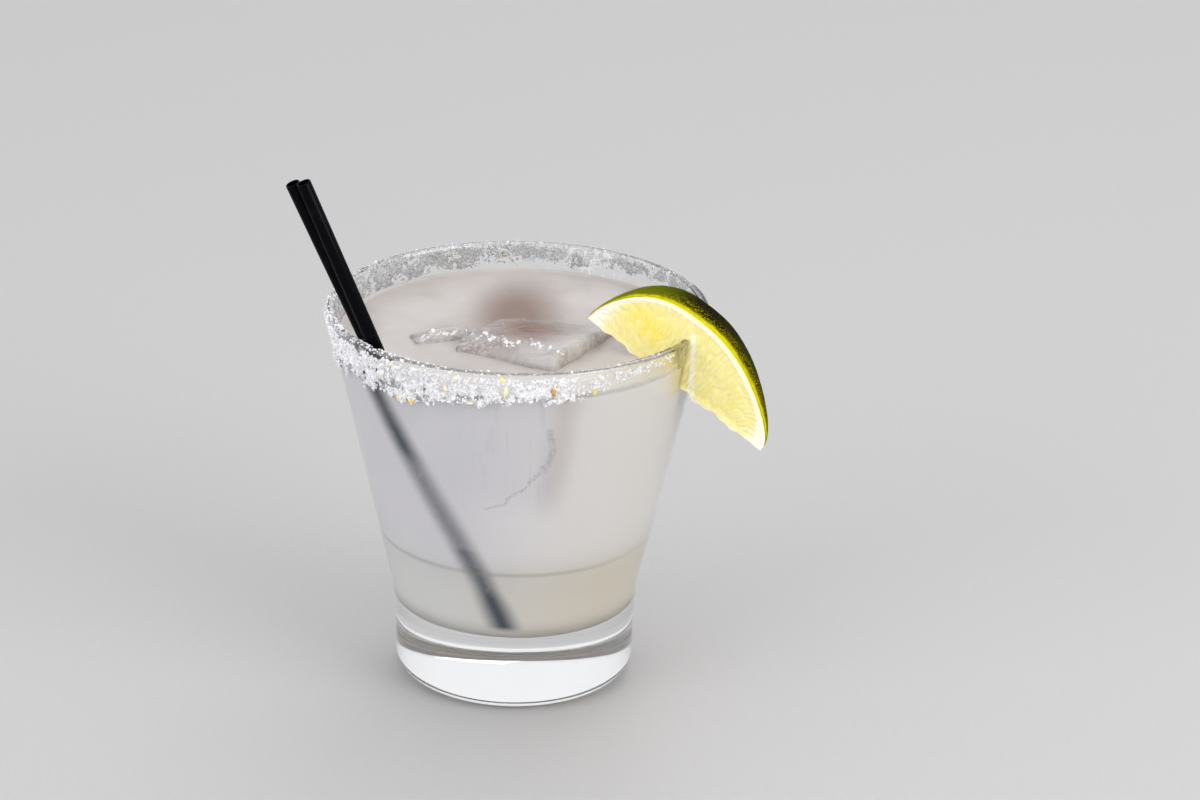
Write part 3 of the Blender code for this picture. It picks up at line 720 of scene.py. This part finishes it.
def lime_finish():
    """One material over the wedge: waxy rind, yellow zest edge, white pith and moist flesh."""
    finish = Finish("lime", IOR=1.38, Specular_IOR_Level=0.02, Subsurface_Weight=0.10,
                    Subsurface_Radius=(1.0, 0.9, 0.35), Subsurface_Scale=0.0010, Coat_Roughness=0.12)
    away = finish.vectors("SUBTRACT", finish.place, tuple(LIME_MIDDLE))
    share = finish.vectors("DOT_PRODUCT", away, tuple(LIME_CORE)) / LIME_HALF_LENGTH
    up = finish.vectors("DOT_PRODUCT", away, tuple(LIME_FACE_UP))
    side = finish.vectors("DOT_PRODUCT", away, tuple(LIME_FACE_BACK))
    core = (up * up + side * side) ** 0.5
    rind = finish.attribute("rind_depth")
    drop = finish.attribute("vesicle_edge")
    tone = finish.attribute("vesicle_tone")

    mottle = finish.cloud(150.0, 3.0, 0.6)
    speckle = finish.cells(2300.0)
    turned_in = finish.maths("ARCTAN2", 0.0 - side, up)
    from_edge = finish.maths("MINIMUM", turned_in, LIME_SLICE - turned_in) * core
    skin = finish.blend(mottle, (0.002, 0.002, 0.0004), (0.007, 0.006, 0.001))
    dots = finish.fade(speckle, 0.50, 0.18) * finish.fade(from_edge, 0.0018, 0.0062, 0.95, 0.08)
    skin = finish.blend(dots, skin, (0.42, 0.37, 0.010))
    # Rind lighter and greener towards the sharp inner end: partly the lime's own colour, partly painted
    # light where the rind faces the light.
    skin = finish.blend(finish.fade(share, -0.22, -0.85), skin, (0.12, 0.145, 0.001))
    ragged = from_edge + (finish.cloud(420.0, 3.0, 0.6) - 0.5) * 0.0018
    skin = finish.blend(finish.fade(ragged, 0.0010, 0.0028, 0.48, 0.0), skin, (0.20, 0.17, 0.004))
    skin = finish.blend(finish.fade(ragged, 0.0002, 0.0017, 1.0, 0.0), skin, (0.60, 0.53, 0.004))

    tips = abs(share) ** 5
    zest_width = 0.0007
    pith_width = 0.0014 + tips * 0.0024 + (finish.cloud(260.0, 3.0, 0.6) - 0.5) * 0.0012
    pale = finish.blend(finish.cloud(60.0, 2.0), (0.85, 0.74, 0.20), (0.88, 0.78, 0.34))
    heart = (((share + 0.48) / 0.34) ** 2 + ((up - 0.0098) / 0.0062) ** 2) ** 0.5
    pale = finish.blend(finish.fade(heart, 0.0, 1.1, 0.90, 0.0), pale, (0.90, 0.74, 0.03))
    streaks = finish.cloud(58.0, 3.0, 0.6, finish.join(share + up * 4.0, core * 7.0, 0.0))
    flesh = finish.blend(tone * 0.40, pale, (0.91, 0.83, 0.44))
    flesh = finish.blend(finish.fade(drop, 0.14, 0.0, 0.0, 0.35), flesh, (0.93, 0.86, 0.52))
    flesh = finish.blend(finish.fade(streaks, 0.50, 0.66, 0.0, 0.40), flesh, (0.94, 0.89, 0.60))
    wander = (finish.cloud(240.0, 2.0) - 0.5) * 0.05
    skin_line = abs(share + up * 22.5 - 0.215 + wander)
    membrane = finish.fade(skin_line, 0.012, 0.042, 0.95, 0.0) * finish.fade(up, 0.0165, 0.0145)
    pith = (0.94, 0.90, 0.70)
    flesh = finish.blend(membrane, flesh, pith)
    into_flesh = finish.fade(rind - zest_width - pith_width, -0.0003, 0.0006)
    inner = finish.blend(into_flesh, pith, flesh)
    inner = finish.blend(finish.fade(core, 0.0006, 0.0018, 0.8, 0.0), inner, pith)
    inner = finish.blend(finish.fade(abs(share), 0.76, 0.92, 0.0, 0.95), inner, (0.95, 0.93, 0.80))
    zest = finish.blend(finish.fade(rind, 0.0002, zest_width), (0.50, 0.48, 0.004), (0.88, 0.80, 0.02))
    cut = finish.blend(finish.fade(rind, zest_width * 0.9, zest_width * 1.45), zest, inner)
    on_cut = finish.attribute("cut_face")
    colour = finish.blend(on_cut, skin, cut)

    pores = finish.fade(speckle, 0.0, 0.35) * (1 - on_cut)
    moist = on_cut * finish.fade(drop, 0.0, 0.4)
    grain = finish.cloud(1400.0, 2.0) * on_cut
    return finish.wear(Base_Color=colour, Roughness=0.74 - 0.46 * on_cut + 0.12 * mottle,
                       Coat_Weight=0.26 * on_cut,
                       Normal=finish.bump(pores * 0.8 + moist * 0.25 + grain * 0.15, 0.0003, 0.55))


def lime_solid(name, along, across, steps, material):
    """One wedge: a fine half-disc face, spun about the core line by the slice angle."""
    bm = bmesh.new()
    bmesh.ops.create_grid(bm, x_segments=along, y_segments=across, size=1.0)
    for vert in bm.verts:
        share = vert.co.x
        reach = (vert.co.y + 1) / 2
        wave = (0.0005 * math.sin(17 * share) + 0.0003 * math.sin(43 * share + 1)) * (1 - share * share)
        rind = lime_outline(share)
        edge = min(max(0.0002, LIME_CORE_EDGE + wave), rind / 2)
        out = edge + (rind - edge) * reach
        vert.co = LIME_MIDDLE + LIME_CORE * (share * LIME_HALF_LENGTH) + LIME_FACE_UP * out
    bmesh.ops.spin(bm, geom=bm.verts[:] + bm.edges[:] + bm.faces[:], cent=LIME_MIDDLE, axis=LIME_CORE,
                   angle=-LIME_SLICE, steps=steps, use_duplicate=False)
    bmesh.ops.remove_doubles(bm, verts=bm.verts, dist=MERGE)
    bmesh.ops.recalc_face_normals(bm, faces=bm.faces)
    return finished(bm, name, material)


def lime_pocket():
    """The room that the wedge takes up in the drink: a coarse wedge, a touch smaller."""
    pocket = lime_solid("lime_pocket", *LIME_POCKET_MESH, None)
    middle = sum((vert.co for vert in pocket.data.vertices), Vector()) / len(pocket.data.vertices)
    for vert in pocket.data.vertices:
        vert.co = middle + (vert.co - middle) * LIME_POCKET_SHARE
    return pocket


def groove_cutter():
    """A thin ring at the wall's inner face and lip, which cuts the groove in the lime's flesh."""
    low = GLASS_HEIGHT - GROOVE_DROP
    top = GLASS_HEIGHT - 0.0001
    lip = LIP_THICKNESS * 0.35
    shoulder = top - lip
    ring = [(inner_radius(low) + INTO_WALL, low),
            (inner_radius(shoulder) + INTO_WALL, shoulder),
            (inner_radius(top) + lip, top),
            (inner_radius(top) + lip + INTO_WALL, top),
            (inner_radius(shoulder) + GROOVE, shoulder),
            (inner_radius(low) + GROOVE, low)]
    return finished(turned(ring, closed=True), "groove_cutter", None)


def lime_wedge():
    """The wedge on the rim, its flesh raised in juice cells and its rind pitted."""
    wedge = lime_solid("lime", *LIME_MESH, lime_finish())
    carve(wedge, groove_cutter())
    mesh = wedge.data
    back_inward = LIME_FACE_BACK * math.cos(LIME_SLICE) + LIME_FACE_UP * math.sin(LIME_SLICE)
    share, core, angle = np.array([lime_place(vert.co) for vert in mesh.vertices]).T
    rind = np.array([lime_outline(value) for value in np.clip(share, -1, 1)])
    reach = core / np.maximum(rind, 0.0005)
    front = vesicles(np.column_stack([share, reach]), 5)
    back = vesicles(np.column_stack([share, reach]), 6)
    on_front = angle < LIME_SLICE / 2
    edge = np.where(on_front, front[0], back[0])
    tone = np.where(on_front, front[1], back[1])
    skin_depth = rind - core
    cut = np.clip(np.maximum(skin_depth / CUT_EDGE, np.minimum(angle, LIME_SLICE - angle) * -200), 0, 1)
    keep_values(mesh, "rind_depth", skin_depth)
    keep_values(mesh, "vesicle_edge", edge)
    keep_values(mesh, "vesicle_tone", tone)
    keep_values(mesh, "cut_face", cut)
    under_rind = np.clip((skin_depth - FLESH_UNDER_RIND) / FLESH_EDGE, 0, 1)
    off_core = np.clip((core - FLESH_FROM_CORE) / FLESH_EDGE, 0, 1)
    lift = np.clip(edge / 0.35, 0, 1) ** 0.5 * VESICLE_HEIGHT - VESICLE_SINK
    pushes = lift * under_rind * off_core
    for index, vert in enumerate(mesh.vertices):
        if skin_depth[index] < RIND_SKIN:
            pore = noise.noise(vert.co * 900) * RIND_PORE
            dimple = noise.noise(vert.co * 160) * RIND_DIMPLE
            vert.co += (vert.co - LIME_MIDDLE).normalized() * (pore + dimple - RIND_SINK)
        elif angle[index] < ON_FACE:
            vert.co += LIME_FACE_BACK * pushes[index]
        elif angle[index] > LIME_SLICE - ON_FACE:
            vert.co -= back_inward * pushes[index]
    mesh.shade_smooth()
    mesh.set_sharp_from_angle(angle=math.radians(50))
    stands_for(wedge, "lime_wedge")


# How far the crust hangs below the lip, in mm, at degrees round the rim
SALT_REACH = ((22, 3.4), (60, 4.6), (100, 5.6), (150, 8.0), (178, 11.5), (190, 12.6), (207, 10.8),
              (218, 10.4), (233, 11.4), (249, 9.0), (270, 7.8), (290, 7.6), (297, 5.6), (302, 3.4),
              (311, 2.6), (323, 2.0))
DEEPEST_SALT = 0.0130


def salt_reach(angle):
    """How far the crust's ragged lower edge hangs below the lip, in metres."""
    ways, drops = zip(*SALT_REACH)
    ragged = 0.95 + 0.30 * noise.noise(Vector((angle * 14, 2.0, 0.0)))
    return float(np.interp(math.degrees(angle), ways, drops)) / 1000 * ragged


def salt_clump(angle, height):
    """Where crystals gather: from about -1 for bare glass to 1 for a thick clump."""
    way = angle * RIM_RADIUS
    coarse = noise.noise(Vector((way * 330, height * 330, 1.7)))
    fine = noise.noise(Vector((way * 900, height * 900, 5.1)))
    return coarse + 0.6 * fine


def salt_finish():
    """Coarse salt: white, with some clear and some greyer crystals."""
    finish = Finish("salt", IOR=1.54, Subsurface_Weight=0.12, Subsurface_Radius=(1.0, 1.0, 1.0),
                    Subsurface_Scale=0.0004)
    tone = finish.attribute("crystal_tone")
    grain = finish.cloud(2500.0, 2.0)
    grit = finish.cells(2300.0)
    colour = finish.blend(tone * (0.50 + 1.0 * grit), (0.56, 0.55, 0.57), (0.93, 0.93, 0.94))
    return finish.wear(Base_Color=colour, Roughness=0.22 + 0.30 * grain,
                       Normal=finish.bump(grit, 0.0002, 0.5))


def block_cloud(name, places, sizes, turns, tones, material):
    """Many small flat-sided blocks as one mesh, from arrays: place, size, turn and tone of each."""
    corners = np.array([(x, y, z) for x in (-0.5, 0.5) for y in (-0.5, 0.5) for z in (-0.5, 0.5)])
    sides = np.array([(0, 1, 3, 2), (4, 6, 7, 5), (0, 4, 5, 1),
                      (2, 3, 7, 6), (0, 2, 6, 4), (1, 5, 7, 3)])
    count = len(places)
    shaped = corners[None, :, :] * sizes[:, None, :]
    points = np.einsum("nij,nkj->nki", turns, shaped) + places[:, None, :]
    faces = sides[None, :, :] + 8 * np.arange(count)[:, None, None]
    mesh = bpy.data.meshes.new(name)
    mesh.from_pydata(points.reshape(-1, 3).tolist(), [], faces.reshape(-1, 4).tolist())
    mesh.shade_flat()
    keep_values(mesh, "crystal_tone", np.repeat(tones, 8))
    mesh.materials.append(material)
    return linked(name, mesh)


def random_turns(draw, count):
    """Rotation matrices spread evenly over all turns."""
    q = draw.normal(size=(count, 4))
    q /= np.linalg.norm(q, axis=1)[:, None]
    w, x, y, z = q.T
    return np.stack([
        np.stack([1 - 2 * (y * y + z * z), 2 * (x * y - w * z), 2 * (x * z + w * y)], axis=1),
        np.stack([2 * (x * y + w * z), 1 - 2 * (x * x + z * z), 2 * (y * z - w * x)], axis=1),
        np.stack([2 * (x * z - w * y), 2 * (y * z + w * x), 1 - 2 * (x * x + y * y)], axis=1)], axis=1)


def salt_place(draw, angle):
    """A crystal's radius and height at a way round the rim, or None where the glass stays bare."""
    at_left = math.exp(-((math.degrees(angle) - LEFT_WAY) / LEFT_SPREAD) ** 2)
    if draw.random() < LIP_SHARE + LIP_SHARE_LEFT * at_left:
        lip = LIP_THICKNESS / 2
        over = draw.uniform(0.1, 2.4)
        return (outer_radius(GLASS_HEIGHT - lip) - lip + lip * math.cos(over),
                GLASS_HEIGHT - lip + lip * math.sin(over))
    reach = salt_reach(angle)
    if draw.random() > reach / DEEPEST_SALT:
        return None
    share = draw.random() ** 0.85
    height = GLASS_HEIGHT - CRYSTALS_TOP - share * (reach - CRYSTALS_TOP) - abs(draw.normal(0, 0.0004))
    clump = salt_clump(angle, height)
    thin = max(0.0, (share - 0.60) / 0.35) + 2.4 * max(0.0, (math.degrees(angle) - 284) / 30)
    single = draw.random() < 0.04
    if clump < -0.06 + 0.50 * thin + draw.normal(0, 0.14) and not single:
        return None
    crust = 0.00012 + 0.0007 * min(1.0, max(0.0, clump + 0.30))
    return outer_radius(height) + draw.random() * crust, height


def salt_crystals(name, start, end, count, seed, material):
    """Crystals over a stretch of the rim: clumped, deep at the left, sparse towards the lime."""
    draw = np.random.default_rng(seed)
    places = []
    while len(places) < count:
        angle = draw.uniform(start, end)
        found = salt_place(draw, angle)
        if found is not None:
            places.append((found[0] * math.cos(angle), found[0] * math.sin(angle), found[1]))
    edges = np.clip(draw.lognormal(math.log(CRYSTAL_EDGE), CRYSTAL_SPREAD, count), *CRYSTAL_LIMITS)
    widths = edges * draw.uniform(0.7, 1.0, count)
    heights = edges * draw.uniform(0.6, 1.0, count)
    turns = random_turns(draw, count)
    tones = 0.1 + 0.9 * draw.random(count) ** 0.7
    sizes = np.column_stack([edges, widths, heights])
    crystals = block_cloud(name, np.array(places), sizes, turns, tones, material)
    stands_for(crystals, "salt_rim")


def crust_place(x, y):
    """Way round, share of the drop and height of the crust at a point of the square from -1 to 1."""
    angle = SALT_START + (SALT_END - SALT_START) * (x + 1) / 2
    drop = (1 - y) / 2
    return angle, drop, GLASS_HEIGHT - CRUST_TOP - drop * (salt_reach(angle) - CRUST_TOP)


def salt_crust(material):
    """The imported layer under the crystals: a bumpy skin with holes where the glass is bare."""
    bm = bmesh.new()
    bmesh.ops.create_grid(bm, x_segments=CRUST_MESH[0], y_segments=CRUST_MESH[1], size=1.0)
    bare = []
    for face in bm.faces:
        angle, drop, height = crust_place(*face.calc_center_median().xy)
        thin = 0.9 * max(0.0, drop - 0.6) + 1.6 * max(0.0, (math.degrees(angle) - 275) / 20)
        if salt_clump(angle, height) < 0.10 + thin:
            bare.append(face)
    bmesh.ops.delete(bm, geom=bare, context="FACES")
    for vert in bm.verts:
        angle, _, height = crust_place(*vert.co.xy)
        lump = CRUST_LUMP * (0.6 + noise.noise(Vector((angle * 90, height * 2000, 0.0))))
        radius = outer_radius(height) + 0.0001 + lump
        vert.co = Vector((radius * math.cos(angle), radius * math.sin(angle), height))
    bmesh.ops.recalc_face_normals(bm, faces=bm.faces)
    outward = sum(f.normal.dot(Vector((*f.calc_center_median().xy, 0.0))) for f in bm.faces)
    if outward < 0:
        bmesh.ops.reverse_faces(bm, faces=bm.faces)
    bmesh.ops.solidify(bm, geom=bm.faces[:], thickness=CRUST_THICKNESS)
    crust = finished(bm, "salt_crust", material)
    keep_values(crust.data, "crystal_tone", np.full(len(crust.data.vertices), 0.65))
    stands_for(crust, "salt_rim")


# Zest flecks in the salt: degrees round the rim, mm below the lip, length and width in mm, colour
FLECKS = (
    (236.4, 9.9, 1.5, 1.4, (0.87, 0.50, 0.02)),
    (231.4, 10.0, 1.5, 0.8, (0.84, 0.72, 0.20)),
    (230.8, 1.9, 0.7, 1.6, (0.88, 0.78, 0.42)),
    (225.9, 5.4, 1.2, 0.9, (0.88, 0.81, 0.52)),
    (248.6, 5.0, 1.1, 0.9, (0.84, 0.79, 0.58)),
    (252.0, 1.9, 0.9, 1.1, (0.86, 0.82, 0.60)),
    (265.7, 1.4, 1.2, 1.0, (0.80, 0.68, 0.22)),
    (266.8, 4.0, 3.0, 1.0, (0.84, 0.80, 0.54)),
    (280.6, 4.2, 2.9, 0.9, (0.46, 0.17, 0.004)),
    (281.4, 2.9, 1.0, 0.6, (0.78, 0.50, 0.08)),
    (293.2, 5.8, 1.6, 1.1, (0.60, 0.54, 0.16)),
    (256.0, 7.9, 0.9, 1.2, (0.88, 0.85, 0.68)),
    (150.0, 4.5, 1.6, 1.0, (0.80, 0.62, 0.05)),
    (95.0, 3.5, 1.5, 1.0, (0.60, 0.52, 0.08)),
    (52.0, 3.0, 1.4, 0.9, (0.82, 0.66, 0.10)),
)


def zest_flecks():
    """Small bent scraps of zest caught in the crust."""
    bm = bmesh.new()
    tint = bm.verts.layers.float_vector.new("fleck_colour")
    for way, drop, length, width, colour in FLECKS:
        angle = math.radians(way)
        height = GLASS_HEIGHT - drop / 1000
        made = bmesh.ops.create_grid(bm, x_segments=12, y_segments=8, size=0.5)["verts"]
        for vert in made:
            rim = max(abs(vert.co.x), abs(vert.co.y))
            wobble = 1 + 0.9 * noise.noise(Vector((vert.co.x * 3.5, vert.co.y * 3.5, way)))
            across = vert.co.y * width / 1000 * wobble * (1.15 - 0.9 * abs(vert.co.x))
            up = vert.co.x * length / 1000 * wobble
            bent = 0.0002 * noise.noise(Vector((up, across, 0)) * 2500)
            radius = outer_radius(height) + (FLECK_PROUD - FLECK_CURL * rim * rim + bent)
            turn = angle + across / radius
            vert[tint] = colour
            vert.co = Vector((radius * math.cos(turn), radius * math.sin(turn), height + up))
    bmesh.ops.recalc_face_normals(bm, faces=bm.faces)
    bmesh.ops.solidify(bm, geom=bm.faces[:], thickness=FLECK_THICKNESS)
    finish = Finish("zest", IOR=1.45, Subsurface_Weight=0.1, Subsurface_Scale=0.0005)
    source = finish.node("ShaderNodeAttribute", {"attribute_name": "fleck_colour"})
    colour = finish.blend(finish.cloud(1800.0, 2.0) * 0.5, Wire(finish, source.outputs["Color"]),
                          (0.90, 0.80, 0.40))
    flecks = finished(bm, "zest_flecks", finish.wear(Base_Color=colour, Roughness=0.45))
    stands_for(flecks, "salt_rim")


def pale_floor():
    bm = bmesh.new()
    bmesh.ops.create_circle(bm, cap_ends=True, segments=96, radius=FLOOR_RADIUS)
    bmesh.ops.translate(bm, vec=(0, 0, -FLOOR_DROP), verts=bm.verts)
    finish = Finish("pale_floor")
    grain = finish.cloud(900.0, 3.0, 0.6)
    tone = finish.blend(grain, (0.45, 0.445, 0.44), (0.49, 0.485, 0.48))
    floor = finished(bm, "floor", finish.wear(Base_Color=tone, Roughness=0.6))


def soft_light(name, place, size, power, colour):
    """A square light of the given width, turned to the middle of the glass."""
    data = bpy.data.lights.new(name, "AREA")
    data.size = size
    data.energy = power
    data.color = colour
    made = linked(name, data)
    made.location = place
    made.rotation_euler = (Vector(LIGHT_AIM) - Vector(place)).to_track_quat("-Z", "Y").to_euler()


def studio():
    """A pale room, a big warm light from the right, a cool one at the left and a weak one behind."""
    world = bpy.data.worlds.new("studio")
    world.use_nodes = True
    background = world.node_tree.nodes["Background"]
    background.inputs["Color"].default_value = (0.97, 0.975, 1.0, 1.0)
    background.inputs["Strength"].default_value = 0.96
    bpy.context.scene.world = world
    soft_light("window_right", (0.90, -0.70, 0.50), 0.8, 8.8, (1.0, 0.97, 0.94))
    soft_light("fill_left", (-0.95, -0.75, 0.42), 0.9, 7.6, (0.96, 0.97, 1.0))
    soft_light("window_back", (0.35, 0.90, 1.20), 0.8, 3.0, (0.97, 0.97, 1.0))


def camera():
    data = bpy.data.cameras.new("camera")
    data.lens = CAMERA_LENS
    data.sensor_width = 36.0
    made = linked("camera", data)
    forward = CAMERA_FORWARD.normalized()
    right = (CAMERA_RIGHT - forward * CAMERA_RIGHT.dot(forward)).normalized()
    up = right.cross(forward)
    turn = Matrix((right, up, -forward)).transposed()
    made.matrix_world = Matrix.Translation(CAMERA_PLACE) @ turn.to_4x4()
    bpy.context.scene.camera = made


def main():
    studio()
    camera()
    pale_floor()
    bpy.context.scene.view_settings.view_transform = "Standard"
    rocks_glass()
    ice = ice_finish()
    # Node, size, middle, turn, tilt, width of the broken edge, cell of the mesh
    blocks = (("ice_large", ICE_SIZE, ICE_MIDDLE, ICE_TURN, ICE_TILT, 0.0055, 0.00050),
              ("ice_chip", CHIP_SIZE, CHIP_MIDDLE, CHIP_TURN, CHIP_TILT, 0.0030, 0.00035))
    pockets = []
    for node, size, middle, turn, tilt, chipped, cell in blocks:
        form = ice_form(node + "_clear", size, middle, turn, tilt, 0.0, cell, chipped, ice)
        stands_for(form, node)
        pockets.append(ice_form(node + "_pocket", size, middle, turn, tilt, POCKET_GROW, POCKET_CELL,
                                chipped, None))
    drink_body(pockets + [lime_pocket()])
    black = straw_finish()
    for name, (start, through) in STRAWS.items():
        straw(name, start, through, black)
    lime_wedge()
    salt = salt_finish()
    salt_crust(salt)
    salt_crystals("salt_crystals_front", SALT_SPLIT, SALT_END, *SALT_FRONT, salt)
    salt_crystals("salt_crystals_back", SALT_START, SALT_SPLIT, *SALT_BACK, salt)
    zest_flecks()


main()
